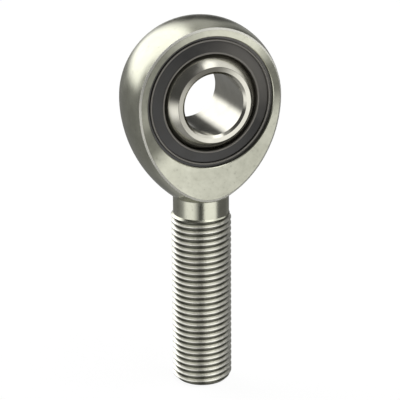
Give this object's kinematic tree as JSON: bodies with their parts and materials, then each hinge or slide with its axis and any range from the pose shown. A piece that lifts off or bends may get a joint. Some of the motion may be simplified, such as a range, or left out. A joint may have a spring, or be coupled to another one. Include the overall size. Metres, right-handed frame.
{
  "type": "rod end bearing",
  "caption": "Sealed male rod end: a steel ball with a through bore swivels in a round head on a threaded shank, as the adjustable end of a linkage rod.",
  "frame": {"origin": "centre of the ball, midway through its bore", "axes": "+Y along the ball's bore from the front side to the rear, +Z from the shank to the crown of the head, +X across the head"},
  "size_m": [0.0328, 0.0158, 0.0783],
  "materials": {
    "plated_steel": "turned and rolled carbon steel with a thin bright plating, satin",
    "ball_steel": "hardened bearing steel, ground and polished",
    "race_steel": "turned alloy steel, matt",
    "liner_fabric": "woven PTFE liner bonded with resin",
    "carrier_steel": "pressed steel strip, phosphated",
    "seal_rubber": "moulded nitrile rubber, satin black"
  },
  "bodies": {
    "housing": {"rod_body": "plated_steel", "race_front": "race_steel", "race_rear": "race_steel", "liner_front": "liner_fabric", "liner_rear": "liner_fabric", "seal_carrier_front": "carrier_steel", "seal_carrier_rear": "carrier_steel", "seal_lip_front": "seal_rubber", "seal_lip_rear": "seal_rubber"},
    "ball": {"ball": "ball_steel"}
  },
  "joints": [
    {"name": "ball_tilt", "type": "hinge", "parent": "housing", "child": "ball", "pos_m": [0, 0, 0], "axis": [1, 0, 0], "range_deg": [-10, 10]}
  ]
}
